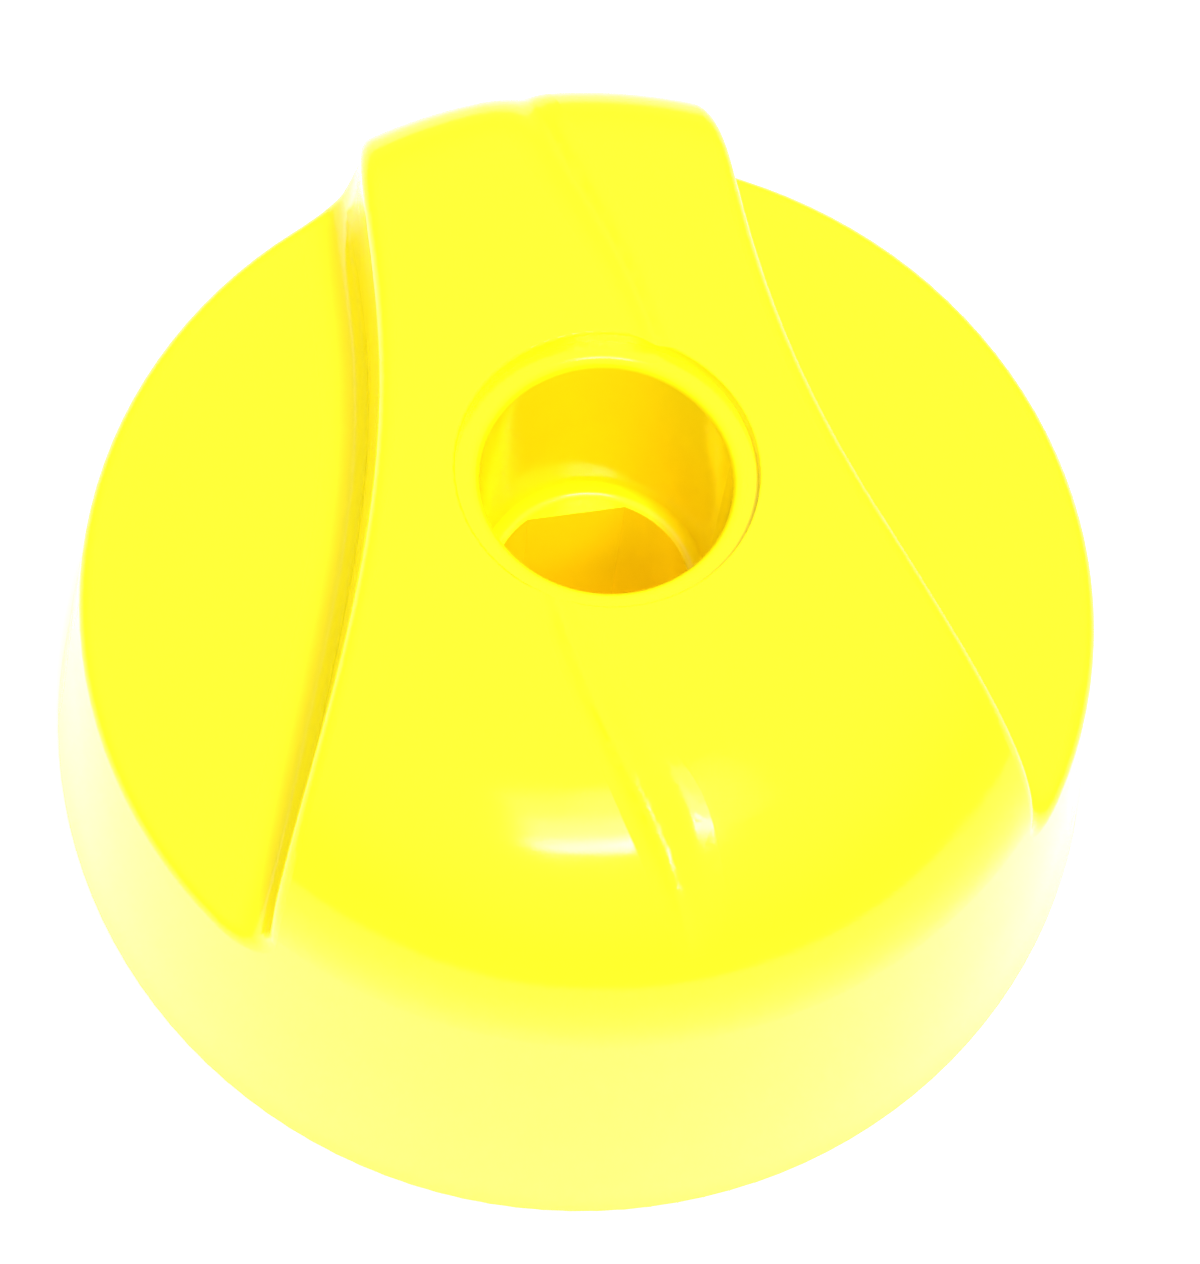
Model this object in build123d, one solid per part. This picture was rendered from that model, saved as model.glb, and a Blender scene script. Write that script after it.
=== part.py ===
"""Round control knob: a hollow skirted shell with a tapered hand grip across its deck,
and a separate hub sleeve, keyed into the shell from below, with a D-shaped shaft socket.

Millimetres, +Z up. The origin is the centre of the skirt's bottom rim, and the rim
stands on Z = 0. The narrow end of the grip points to +Y, the wide end to -Y.
"""
import os
from math import cos, hypot, pi

from build123d import *

# ---- driving dimensions ------------------------------------------------------------

DECK_RADIUS = 30.0          # the round deck on each side of the grip
BASE_RADIUS = 33.9          # the skirt flares out to this at its bottom rim
DECK_HEIGHT = 19.3
GRIP_HEIGHT = 33.2          # the flat crown of the grip
# Each end of the grip: radius where the crown turns over, length of the curve's pull there,
# height that the skirt's lean goes on straight above the deck, height of its pull from there.
WIDE_END = (15.0, 2.5, 3.25, 8.4)
NARROW_END = (21.0, 6.0, 0.0, 8.0)
SHELL_WALL = 2.4
END_WALL = 2.8              # a little more behind the grooves in the crown and the ends

OUTLINE_END_Y = 36.0        # the grip's outline is drawn past the rim at both ends
GRIP_OUTLINE = [            # Y, half width at the crown, half width at the deck
    (OUTLINE_END_Y, 1.0, 14.3),
    (30.0, 5.5, 12.8),
    (27.0, 8.9, 12.0),
    (23.0, 10.3, 11.5),
    (16.0, 10.7, 11.4),
    (4.5, 11.85, 13.4),
    (-6.0, 14.7, 16.8),
    (-14.0, 17.85, 19.5),
    (-21.5, 21.9, 22.6),
    (-29.0, 28.0, 28.4),
    (-OUTLINE_END_Y, 34.0, 34.3),
]
FOOT_FILLET = 3.0
EDGE_FILLET = 1.0
BASE_EDGE = 0.4

SEAT_RADIUS = 8.3           # round seat recess in the crown
SEAT_DEPTH = 0.9
SEAT_EDGE = 0.15
WELL_RADIUS = 6.95          # round well in the hub sleeve
WELL_EDGE = 0.7
LEDGE_HEIGHT = 17.0         # the well ends on a ledge, and the shaft socket starts
LEDGE_FILLET = 0.85
SOCKET_RADIUS = 6.05        # a sliding fit on a 12 mm D shaft
SOCKET_FLAT = 5.25          # from the axis to the flat, which faces the narrow end

SLEEVE_RADIUS = 9.2         # the sleeve butts against the underside of the seat recess
SLEEVE_SHOULDER = 6.0
NECK_RADIUS = 7.4
SLEEVE_FOOT = 1.0
FIT_GAP = 0.05              # radial gap where one piece slides into another
KEY_WIDTH = 2.4
KEY_RADIUS = 10.2
KEY_TOP = 24.0

BOSS_RADIUS = 12.2
BOSS_FOOT = 3.5

RETAINER_THICKNESS = 0.6
RETAINER_BORE = 7.7
RETAINER_TEETH = 8
TOOTH_GAP_WIDTH = 2.0
TOOTH_GAP_DEPTH = 0.8

HOOP_RADIUS = 8.6
HOOP_FOOT = 1.4
HOOP_TOP = 5.1
HOOP_EDGE = 0.25

SPRING_WIDTH = 5.0
SPRING_THICKNESS = 0.4
SPRING_FOOT = 1.4
SPRING_TOP = 12.8
SPRING_SEAT = 6.75          # depth of the spring's slot from the axis
SPRING_REACH = 5.6          # the bow stands this close to the axis, inside the socket
SLOT_TOP = 13.2

RIB_THICKNESS = 1.8
RIB_COUNT = 6
RIB_FOOT = 9.0

# The groove's bottom in plan, from the hub to the end. The wide end's is turned half round.
GROOVE_PATH = [(4.15, 6.6), (3.6, 10.3), (2.75, 14.2), (1.55, 18.2), (0.5, 22.0),
               (-0.1, 26.0), (-0.3, 29.0)]
# How the groove changes along its path: place, steep side, gentle side, depth.
NARROW_GROOVE = [
    (0.00, 1.1, 1.4, 0.36),
    (0.30, 1.3, 1.8, 0.52),
    (0.55, 1.4, 2.3, 0.64),
    (0.75, 1.5, 2.8, 0.60),
    (0.88, 1.5, 3.0, 0.42),
    (1.00, 1.3, 2.4, -0.25),
]
WIDE_GROOVE = [
    (0.00, 1.1, 1.4, 0.34),
    (0.25, 1.3, 1.9, 0.48),
    (0.45, 1.6, 2.6, 0.66),
    (0.60, 1.7, 3.1, 0.75),
    (0.75, 1.5, 2.7, 0.50),
    (0.92, 1.1, 1.8, -0.12),
]
GROOVE_SECTIONS = 18
SECTION_CROWDING = 1.7      # above 1, the sections stand closer together towards the end
SECTION_POINTS = 20
GROOVE_CORE = 0.45          # share of the depth that is in a narrower core at the bottom
GROOVE_LIFT = 0.008         # the cutter's sides end this far above the surface

# ---- helpers -----------------------------------------------------------------------


def turned(*outline):
    """A solid of revolution about Z. The outline is drawn as radius and height."""
    return revolve(Plane.XZ * make_face(Curve() + list(outline)), Axis.Z)


def turned_polygon(*points):
    return turned(*Polyline(*points, close=True).edges())


def ring(inner, outer, foot, top):
    return turned_polygon((inner, foot), (outer, foot), (outer, top), (inner, top))


def disc(radius, foot, top):
    return Pos(0, 0, foot) * Cylinder(radius, top - foot,
                                      align=(Align.CENTER, Align.CENTER, Align.MIN))


def block(width, low, high):
    """A box of the given width centred on X = 0, between two (y, z) corners."""
    return Pos(0, low[0], low[1]) * Box(width, high[0] - low[0], high[1] - low[1],
                                        align=(Align.CENTER, Align.MIN, Align.MIN))


# ---- the shell's outer form --------------------------------------------------------


def end_line(end, inset=0.0):
    """One end of the grip in section: from the end of the skirt's lean over to the crown."""
    crown_radius, pull, straight, rise = end
    lean = (BASE_RADIUS - DECK_RADIUS) / DECK_HEIGHT
    leaning = [(DECK_RADIUS - inset - lean * height, DECK_HEIGHT + height)
               for height in (straight, straight + rise)]
    top = GRIP_HEIGHT - inset
    return Bezier(*leaning, (crown_radius + pull - inset, top), (crown_radius - inset, top))


def outer_half(end, inset=0.0):
    """Skirt, end and crown, turned through the half circle on the +Y side."""
    line = end_line(end, inset)
    foot = (BASE_RADIUS - inset, 0)
    top = GRIP_HEIGHT - inset
    around = Polyline(line @ 1, (0, top), (0, 0), foot, line @ 0)
    face = Plane.XZ * make_face(Curve() + [line, around])
    return revolve(face, Axis.Z, 180)


def outer_form(inset=0.0):
    """The whole knob before its side pockets, or its core, set in all round."""
    return outer_half(NARROW_END, inset) + Rot(0, 0, 180) * outer_half(WIDE_END, inset)


def outline_edge(side, height, inset=0.0):
    """The side edge of the grip at a height, between the deck's outline and the crown's."""
    share = (height - DECK_HEIGHT) / (GRIP_HEIGHT - DECK_HEIGHT)
    return Spline(*[(side * (foot + (crown - foot) * share - inset), y)
                    for y, crown, foot in GRIP_OUTLINE])


def beside_grip(side, height):
    """The flat area outside one side of the grip at the given height."""
    edge = outline_edge(side, height)
    far = side * 2 * BASE_RADIUS
    around = Polyline(edge @ 1, (far, -OUTLINE_END_Y), (far, OUTLINE_END_Y), edge @ 0)
    return Pos(0, 0, height) * make_face(Curve() + [edge, around])


def side_pocket(side):
    """What is taken away beside the grip, down to the deck, with the fillet at its foot."""
    over = 1.0
    pocket = loft([beside_grip(side, DECK_HEIGHT), beside_grip(side, GRIP_HEIGHT + over)],
                  ruled=True)
    foot = pocket.edges().filter_by(GeomType.BSPLINE).sort_by(Axis.Z)[0]
    return pocket.fillet(FOOT_FILLET, [foot])


def is_turned(face):
    """True for the faces of the outer form, and false for those that a pocket made."""
    if face.geom_type == GeomType.PLANE:
        return abs(face.center().Z - DECK_HEIGHT) > FIT_GAP
    return face.geom_type in (GeomType.CONE, GeomType.REVOLUTION, GeomType.TORUS)


def grip_form():
    """The shell's outside, with one soft edge all round each side pocket."""
    form = outer_form()
    form = fillet([edge for edge in form.edges() if edge.center().Z < FIT_GAP
                   and edge.geom_type == GeomType.CIRCLE], BASE_EDGE)
    for side in (-1, 1):
        form -= side_pocket(side)
    form = form.solid()
    turned_edges = {hash(edge) for face in form.faces() if is_turned(face)
                    for edge in face.edges()}
    pocket_edges = [edge for face in form.faces() if not is_turned(face)
                    for edge in face.edges()]
    return form.fillet(EDGE_FILLET, [e for e in pocket_edges if hash(e) in turned_edges])


# ---- grooves in the crown ----------------------------------------------------------


def surface_height(radius, end):
    """Height of the crown, the rounded end or the skirt at a distance from the axis."""
    line = end_line(end)
    if radius <= end[0]:
        return GRIP_HEIGHT
    if radius >= (line @ 0).X:
        return (BASE_RADIUS - radius) / (BASE_RADIUS - DECK_RADIUS) * DECK_HEIGHT
    low, high = 0.0, 1.0
    for _ in range(30):
        middle = (low + high) / 2
        if (line @ middle).X > radius:
            low = middle
        else:
            high = middle
    return (line @ low).Y


def groove_section(path, end, place, steep, gentle, depth):
    """An upright section of the cutter, square to the path: a soft, lopsided hollow below."""
    here = path @ place
    run = path % place
    across = Vector(run.Y, -run.X, 0).normalized()
    hollow = []
    for index in range(SECTION_POINTS + 1):
        share = 2 * index / SECTION_POINTS - 1
        point = here + across * (share * (steep if share > 0 else gentle))
        swell = (1 + cos(pi * share)) / 2
        sink = (1 - GROOVE_CORE) * swell + GROOVE_CORE * swell ** 4
        height = surface_height(hypot(point.X, point.Y), end) + GROOVE_LIFT
        hollow.append(Vector(point.X, point.Y, height - (depth + GROOVE_LIFT) * sink))
    first, last, top = hollow[0], hollow[-1], GRIP_HEIGHT + 1
    over = Polyline(last, (last.X, last.Y, top), (first.X, first.Y, top), first)
    return make_face(Curve() + [Spline(*hollow), over])


def groove_sizes(stations, place):
    """Steep side, gentle side and depth at a place between two rows of the table."""
    for before, after in zip(stations, stations[1:]):
        if place <= after[0]:
            share = (place - before[0]) / (after[0] - before[0])
            return [low + (high - low) * share for low, high in zip(before[1:], after[1:])]
    return stations[-1][1:]


def groove(end, stations):
    """The cutter for the groove that runs from the hub out over the given end."""
    path = Spline(*GROOVE_PATH)
    places = [stations[-1][0] * (1 - (1 - index / GROOVE_SECTIONS) ** SECTION_CROWDING)
              for index in range(GROOVE_SECTIONS + 1)]
    cutter = loft([groove_section(path, end, place, *groove_sizes(stations, place))
                   for place in places])
    return cutter if end is NARROW_END else Rot(0, 0, 180) * cutter


# ---- the shell's inside ------------------------------------------------------------


def under_deck():
    """The round hollow of the skirt, up to the underside of the deck."""
    ceiling = DECK_HEIGHT - SHELL_WALL
    lean = (BASE_RADIUS - DECK_RADIUS) / DECK_HEIGHT
    mouth = BASE_RADIUS - SHELL_WALL
    return turned_polygon((0, -1), (mouth + lean, -1), (mouth - lean * ceiling, ceiling),
                          (0, ceiling))


def inside_grip():
    """The hollow of the grip, a wall's thickness in from its sides, ends and crown."""
    middle = (DECK_HEIGHT + GRIP_HEIGHT) / 2
    sides = [outline_edge(side, middle, SHELL_WALL) for side in (1, -1)]
    ends = [Line(sides[0] @ 0, sides[1] @ 0), Line(sides[0] @ 1, sides[1] @ 1)]
    foot = DECK_HEIGHT - SHELL_WALL - 1
    core = Pos(0, 0, foot) * extrude(make_face(Curve() + sides + ends), GRIP_HEIGHT - foot)
    return core & outer_form(END_WALL)


def boss_and_ribs():
    """The hub's boss and the webs that tie it to the skirt."""
    body = disc(BOSS_RADIUS, BOSS_FOOT, GRIP_HEIGHT)
    web = block(RIB_THICKNESS, (0, RIB_FOOT), (BASE_RADIUS, GRIP_HEIGHT))
    for index in range(RIB_COUNT):
        body += Rot(0, 0, index * 360 / RIB_COUNT) * web
    return body


def sleeve_bore():
    """The seat recess, the bore for the hub sleeve below it, and its two keyways."""
    seat_floor = GRIP_HEIGHT - SEAT_DEPTH
    bore = disc(SEAT_RADIUS, seat_floor - 1, GRIP_HEIGHT + 1)
    bore += disc(SLEEVE_RADIUS + FIT_GAP, BOSS_FOOT - 1, seat_floor)
    reach = KEY_RADIUS + FIT_GAP
    bore += block(KEY_WIDTH + 2 * FIT_GAP, (-reach, BOSS_FOOT - 1), (reach, KEY_TOP + FIT_GAP))
    return bore


def knob_shell():
    solid_core = boss_and_ribs()
    shell = grip_form() - (under_deck() - solid_core) - (inside_grip() - solid_core)
    shell -= sleeve_bore()
    mouth = [edge for edge in shell.edges().filter_by(GeomType.CIRCLE)
             if abs(edge.radius - SEAT_RADIUS) < FIT_GAP
             and abs(edge.center().Z - GRIP_HEIGHT) < FIT_GAP]
    shell = fillet(mouth, SEAT_EDGE)
    shell -= groove(NARROW_END, NARROW_GROOVE)
    shell -= groove(WIDE_END, WIDE_GROOVE)
    return shell.solid()


# ---- the hub -----------------------------------------------------------------------


def shaft_socket():
    """The D-shaped hole, with its flat towards +Y."""
    hole = disc(SOCKET_RADIUS, SLEEVE_FOOT - 1, LEDGE_HEIGHT + 1)
    return hole - block(4 * SOCKET_RADIUS, (SOCKET_FLAT, SLEEVE_FOOT - 1),
                        (2 * SOCKET_FLAT, LEDGE_HEIGHT + 1))


def spring_slot():
    return block(SPRING_WIDTH + 2 * FIT_GAP, (-SPRING_SEAT, SLEEVE_FOOT - 1), (0, SLOT_TOP))


def hub_sleeve():
    top = GRIP_HEIGHT - SEAT_DEPTH
    body = disc(SLEEVE_RADIUS, SLEEVE_SHOULDER, top) + disc(NECK_RADIUS, SLEEVE_FOOT, top)
    body += block(KEY_WIDTH, (-KEY_RADIUS, SLEEVE_SHOULDER), (KEY_RADIUS, KEY_TOP))
    well = disc(WELL_RADIUS, LEDGE_HEIGHT, top)
    well = fillet(well.edges().filter_by(GeomType.CIRCLE).sort_by(Axis.Z)[0], LEDGE_FILLET)
    body -= well
    mouth = [edge for edge in body.edges().filter_by(GeomType.CIRCLE)
             if abs(edge.radius - WELL_RADIUS) < FIT_GAP and edge.center().Z > top - FIT_GAP]
    body = fillet(mouth, WELL_EDGE)
    return (body - shaft_socket() - spring_slot()).solid()


def sleeve_retainer():
    """A toothed push-in ring that grips the boss's bore below the sleeve's shoulder."""
    foot = SLEEVE_SHOULDER - RETAINER_THICKNESS
    outer = SLEEVE_RADIUS + FIT_GAP
    plate = ring(RETAINER_BORE, outer, foot, SLEEVE_SHOULDER)
    gap = block(TOOTH_GAP_WIDTH, (outer - TOOTH_GAP_DEPTH, foot), (2 * outer, SLEEVE_SHOULDER))
    for index in range(RETAINER_TEETH):
        plate -= Rot(0, 0, (index + 0.5) * 360 / RETAINER_TEETH) * gap
    return plate.solid()


def hub_hoop():
    """A steel band round the sleeve's neck, which keeps the socket from spreading."""
    band = ring(NECK_RADIUS, HOOP_RADIUS, HOOP_FOOT, HOOP_TOP)
    outer_edges = [edge for edge in band.edges().filter_by(GeomType.CIRCLE)
                   if edge.radius > (NECK_RADIUS + HOOP_RADIUS) / 2]
    return chamfer(outer_edges, HOOP_EDGE).solid()


def shaft_spring():
    """A bowed leaf in the socket's round side that presses the shaft onto the flat."""
    middle = (SPRING_FOOT + SPRING_TOP) / 2
    back = SPRING_SEAT - SPRING_THICKNESS
    front = ThreePointArc((-back, SPRING_FOOT), (-SPRING_REACH, middle), (-back, SPRING_TOP))
    rear = Pos(-SPRING_THICKNESS, 0) * front
    ends = [Line(front @ 0, rear @ 0), Line(front @ 1, rear @ 1)]
    section = Plane.YZ * make_face(Curve() + [front, rear] + ends)
    return extrude(section, SPRING_WIDTH / 2, both=True).solid()


# ---- the pieces --------------------------------------------------------------------

PIECES = {
    "knob_shell": knob_shell,
    "hub_sleeve": hub_sleeve,
    "sleeve_retainer": sleeve_retainer,
    "hub_hoop": hub_hoop,
    "shaft_spring": shaft_spring,
}

if __name__ == "__main__":
    os.makedirs("parts", exist_ok=True)
    for name, make in PIECES.items():
        piece = make()
        print(name, round(piece.volume, 1), "mm3, valid:", piece.is_valid)
        export_step(piece, f"parts/{name}.step")
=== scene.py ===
import math

import bpy
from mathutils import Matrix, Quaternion, Vector


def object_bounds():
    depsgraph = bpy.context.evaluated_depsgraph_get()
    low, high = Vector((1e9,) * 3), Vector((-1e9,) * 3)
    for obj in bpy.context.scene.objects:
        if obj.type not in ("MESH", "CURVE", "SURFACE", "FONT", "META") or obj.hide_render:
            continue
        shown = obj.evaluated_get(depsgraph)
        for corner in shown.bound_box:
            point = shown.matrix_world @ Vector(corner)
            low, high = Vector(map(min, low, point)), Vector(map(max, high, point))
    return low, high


# A glossy, bright yellow control knob on a white surface under soft studio light.
# Everything is in metres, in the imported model's frame: the knob stands on z = 0.

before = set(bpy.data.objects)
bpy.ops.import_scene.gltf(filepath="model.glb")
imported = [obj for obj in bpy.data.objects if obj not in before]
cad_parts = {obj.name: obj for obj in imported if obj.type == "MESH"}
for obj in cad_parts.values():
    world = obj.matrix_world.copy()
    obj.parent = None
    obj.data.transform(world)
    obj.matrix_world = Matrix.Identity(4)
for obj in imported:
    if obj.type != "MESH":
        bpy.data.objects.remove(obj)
CAD_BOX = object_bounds()
HEIGHT = CAD_BOX[1].z
MM = 0.001

# The camera stands over the grip's wide end, a little to its left, and is tilted about the
# way it looks. Turns are in degrees to the left of the wide end, seen from above.
CAMERA_AIM = Vector((0.12, -2.57, HEIGHT / MM / 2)) * MM
CAMERA_DISTANCE = 149.5 * MM
CAMERA_TURN = 17.95
CAMERA_ELEVATION = 66.0
CAMERA_ROLL = 8.65
CAMERA_LENS = 71.2
CAMERA_SENSOR = 36.0


def direction(turn, elevation):
    """The way from the origin to a thing at that turn and that elevation, in degrees."""
    flat = math.cos(math.radians(elevation))
    return Vector((
        -math.sin(math.radians(turn)) * flat,
        -math.cos(math.radians(turn)) * flat,
        math.sin(math.radians(elevation)),
    ))


# ---------------------------------------------------------------- materials

PLASTIC_IOR = 1.49
NOISE_MIDDLE = (0.3, 0.7)   # nearly all of a noise's values lie between these


def map_range(node, from_low, from_high, to_low, to_high):
    """Fills in a Map Range node's two ranges."""
    for name, value in zip(("From Min", "From Max", "To Min", "To Max"),
                           (from_low, from_high, to_low, to_high)):
        node.inputs[name].default_value = value


class Material:
    """A node material under construction."""

    def __init__(self, name):
        self.material = bpy.data.materials.new(name)
        self.material.use_nodes = True
        self.nodes = self.material.node_tree.nodes
        self.links = self.material.node_tree.links
        self.shader = self.nodes["Principled BSDF"]
        self.place = self.nodes.new("ShaderNodeTexCoord").outputs["Object"]

    def set(self, **sockets):
        """Sets the shader's own sockets, such as Coat_Weight for Coat Weight."""
        for name, value in sockets.items():
            self.shader.inputs[name.replace("_", " ")].default_value = value

    def stretched(self, scale):
        """The place in the frame, scaled along each axis."""
        mapping = self.nodes.new("ShaderNodeMapping")
        mapping.inputs["Scale"].default_value = scale
        self.links.new(self.place, mapping.inputs["Vector"])
        return mapping.outputs["Vector"]

    def noise(self, size, detail=2.0, place=None):
        """Noise whose blobs are about that size in metres."""
        node = self.nodes.new("ShaderNodeTexNoise")
        node.inputs["Scale"].default_value = 1 / size
        node.inputs["Detail"].default_value = detail
        self.links.new(place or self.place, node.inputs["Vector"])
        return node.outputs["Fac"]

    def spread(self, value, low, high):
        """The middle of a noise's range stretched out from low to high."""
        node = self.nodes.new("ShaderNodeMapRange")
        map_range(node, *NOISE_MIDDLE, low, high)
        self.links.new(value, node.inputs["Value"])
        return node.outputs["Result"]

    def blend(self, factor, first, second):
        """A colour between two, by factor."""
        node = self.nodes.new("ShaderNodeMix")
        node.data_type = "RGBA"
        node.inputs[6].default_value = (*first, 1.0)
        node.inputs[7].default_value = (*second, 1.0)
        self.links.new(factor, node.inputs["Factor"])
        return node.outputs[2]

    def relief(self, height, depth, under=None):
        """Bumps of that depth in metres, over the ones under them."""
        node = self.nodes.new("ShaderNodeBump")
        node.inputs["Distance"].default_value = depth
        self.links.new(height, node.inputs["Height"])
        if under is not None:
            self.links.new(under, node.inputs["Normal"])
        return node.outputs["Normal"]

    def wire(self, value, socket):
        """Leads a value into one of the shader's sockets."""
        self.links.new(value, self.shader.inputs[socket])


def moulded_plastic(name, bright, deep):
    """Glossy plastic out of a polished mould: near one colour, a faint waviness, a fine skin."""
    made = Material(name)
    tone = made.spread(made.noise(14 * MM, detail=3.0), 0.0, 1.0)
    made.wire(made.blend(tone, bright, deep), "Base Color")
    made.wire(made.spread(made.noise(6 * MM, detail=4.0), 0.09, 0.15), "Roughness")
    waves = made.relief(made.noise(5 * MM, detail=1.0), 0.02 * MM)
    made.wire(made.relief(made.noise(0.35 * MM), 0.0012 * MM, waves), "Normal")
    made.set(IOR=PLASTIC_IOR)
    return made.material


def rolled_steel(name, bright, dark, grain):
    """Steel with fine marks drawn out along its rolling direction."""
    made = Material(name)
    marks = made.noise(0.12 * MM, detail=3.0, place=made.stretched(grain))
    made.wire(made.blend(made.spread(marks, 0.0, 1.0), dark, bright), "Base Color")
    made.wire(made.spread(marks, 0.38, 0.24), "Roughness")
    made.wire(made.relief(marks, 0.002 * MM), "Normal")
    made.set(Metallic=1.0)
    return made.material


def give(node, material):
    """The CAD node shows that material all over."""
    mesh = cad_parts[node].data
    mesh.materials.clear()
    mesh.materials.append(material)


def finish_pieces():
    """Every CAD node gets its material."""
    shell = moulded_plastic("shell_moulding", (1.0, 0.86, 0.006), (1.0, 0.83, 0.005))
    sleeve = moulded_plastic("sleeve_moulding", (1.0, 0.84, 0.006), (1.0, 0.81, 0.005))
    leaf = rolled_steel("leaf_steel", (0.52, 0.52, 0.53), (0.40, 0.40, 0.41), (1.0, 1.0, 0.08))
    band = rolled_steel("band_steel", (0.72, 0.72, 0.73), (0.58, 0.58, 0.60), (1.0, 1.0, 12.0))
    give("knob_shell", shell)
    give("hub_sleeve", sleeve)
    give("sleeve_retainer", leaf)
    give("shaft_spring", leaf)
    give("hub_hoop", band)


# ---------------------------------------------------------------- surroundings

BLACK = (0.0, 0.0, 0.0)
FLOOR_SIZE = 3.0
SHEET_WHITE = (0.84, 0.84, 0.84)
SHEET_PAINTED_SHADE = (0.55, 0.36, 0.01)    # painted shade: the sheet under the knob, dark yellow as if hardly any but yellow light got there
SHEET_CHANGE = (0.90, 0.99)         # between these shares of the rim's radius the painted shade turns white
PAINTED_GLOW_ROUND = (0.3, 0.3, 0.3)        # painted glow on the sheet round the knob, that washes out its shadow there
PAINTED_GLOW_UNDER = (0.85, 0.55, 0.0)      # painted warm glow on the sheet under the knob, that lights the hole and bore from below
GLOW_MIDDLE = (0.3, 0.6)            # that is full up to the first share of the rim's radius
GLOW_START = (0.97, 1.03)           # the painted glow round the knob comes up between these shares
GLOW_REACH = (50 * MM, 130 * MM)    # and fades out between these distances
SKY_LOW = 0.42                      # the room's brightness at the horizon
SKY_HIGH = 0.86                     # and overhead
SKY_TURN = (0.25, 0.95)     # between these sines of elevation the sky goes from low to high

# name, turn, elevation, distance, width, height, power
KEY_LIGHTS = [
    ("key_softbox", 0.6, 61.5, 0.9, 0.35, 0.055, 1.25),
    ("key_glow", 0.6, 65.5, 0.9, 0.34, 0.12, 0.45),
    ("key_haze", 0.6, 69.0, 0.9, 0.38, 0.24, 0.5),
]
FILL_LIGHT = ("overhead_fill", -25.0, 70.0, 1.5, 0.5, 0.5, 21.0)


def rings(made, *stops):
    """Colour that changes with the distance from the knob's axis, through (distance, colour)."""
    half = FLOOR_SIZE / 2
    distance = made.nodes.new("ShaderNodeVectorMath")
    distance.operation = "LENGTH"
    made.links.new(made.place, distance.inputs[0])
    share = made.nodes.new("ShaderNodeMath")
    share.operation = "DIVIDE"
    share.inputs[1].default_value = half
    made.links.new(distance.outputs["Value"], share.inputs[0])
    fade = made.nodes.new("ShaderNodeValToRGB")
    made.links.new(share.outputs["Value"], fade.inputs["Fac"])
    ramp = fade.color_ramp.elements
    for element, (place, colour) in zip(ramp, (stops[0], stops[-1])):
        element.position, element.color = place / half, (*colour, 1.0)
    for place, colour in stops[1:-1]:
        ramp.new(place / half).color = (*colour, 1.0)
    return fade.outputs["Color"]


def floor():
    """The white surface that the knob stands on, wide enough to fill every view, with painted
    shade and a painted warm glow under the knob and a painted glow round it.
    """
    half = FLOOR_SIZE / 2
    corners = [(-half, -half, 0), (half, -half, 0), (half, half, 0), (-half, half, 0)]
    mesh = bpy.data.meshes.new("floor")
    mesh.from_pydata(corners, [], [(0, 1, 2, 3)])
    ground = bpy.data.objects.new("floor", mesh)
    bpy.context.scene.collection.objects.link(ground)
    made = Material("sheet_with_painted_shade_and_glow")
    rim = CAD_BOX[1].x
    colour = [(share * rim, tone) for share, tone in zip(SHEET_CHANGE, (SHEET_PAINTED_SHADE, SHEET_WHITE))]
    glow = [(share * rim, tone) for share, tone in zip(
        (*GLOW_MIDDLE, *GLOW_START), (PAINTED_GLOW_UNDER, BLACK, BLACK, PAINTED_GLOW_ROUND))]
    glow += zip(GLOW_REACH, (PAINTED_GLOW_ROUND, BLACK))
    # Base colour: painted shade under the knob, plain white further out.
    made.wire(rings(made, *colour), "Base Color")
    made.wire(made.spread(made.noise(1.5 * MM, detail=4.0), 0.7, 0.8), "Roughness")
    # The sheet glows though it is no lamp: a painted warm glow under the knob and a painted glow
    # round it.
    made.set(Emission_Strength=1.0)
    made.wire(rings(made, *glow), "Emission Color")
    mesh.materials.append(made.material)


def softbox(name, turn, elevation, distance, width, height, power):
    """A rectangular soft light that faces the knob from that distance."""
    lamp = bpy.data.lights.new(name, "AREA")
    lamp.shape = "RECTANGLE"
    lamp.size = width
    lamp.size_y = height
    lamp.energy = power
    holder = bpy.data.objects.new(name, lamp)
    way = direction(turn, elevation)
    holder.location = way * distance
    holder.rotation_mode = "QUATERNION"
    holder.rotation_quaternion = (-way).to_track_quat("-Z", "Y")
    bpy.context.scene.collection.objects.link(holder)
    return holder


def sky():
    """The white of a softly lit room, brighter overhead than at the horizon."""
    world = bpy.data.worlds.new("studio")
    bpy.context.scene.world = world
    world.use_nodes = True
    nodes, links = world.node_tree.nodes, world.node_tree.links
    background = nodes["Background"]
    background.inputs["Color"].default_value = (1.0, 1.0, 1.0, 1.0)
    split = nodes.new("ShaderNodeSeparateXYZ")
    rise = nodes.new("ShaderNodeMapRange")
    rise.interpolation_type = "SMOOTHSTEP"
    map_range(rise, *SKY_TURN, SKY_LOW, SKY_HIGH)
    links.new(nodes.new("ShaderNodeTexCoord").outputs["Generated"], split.inputs["Vector"])
    links.new(split.outputs["Z"], rise.inputs["Value"])
    links.new(rise.outputs["Result"], background.inputs["Strength"])


def camera():
    """The camera at the photograph's place."""
    lens = bpy.data.cameras.new("camera")
    lens.lens = CAMERA_LENS
    lens.sensor_width = CAMERA_SENSOR
    lens.clip_start = 0.01
    lens.clip_end = 10.0
    holder = bpy.data.objects.new("camera", lens)
    way = direction(CAMERA_TURN, CAMERA_ELEVATION)
    holder.location = CAMERA_AIM + way * CAMERA_DISTANCE
    holder.rotation_mode = "QUATERNION"
    roll = Quaternion((0, 0, 1), math.radians(CAMERA_ROLL))
    holder.rotation_quaternion = (-way).to_track_quat("-Z", "Y") @ roll
    bpy.context.scene.collection.objects.link(holder)
    bpy.context.scene.camera = holder


camera()
floor()
sky()
for light in KEY_LIGHTS:
    softbox(*light)
softbox(*FILL_LIGHT).visible_glossy = False
finish_pieces()
bpy.context.scene.view_settings.view_transform = "Standard"
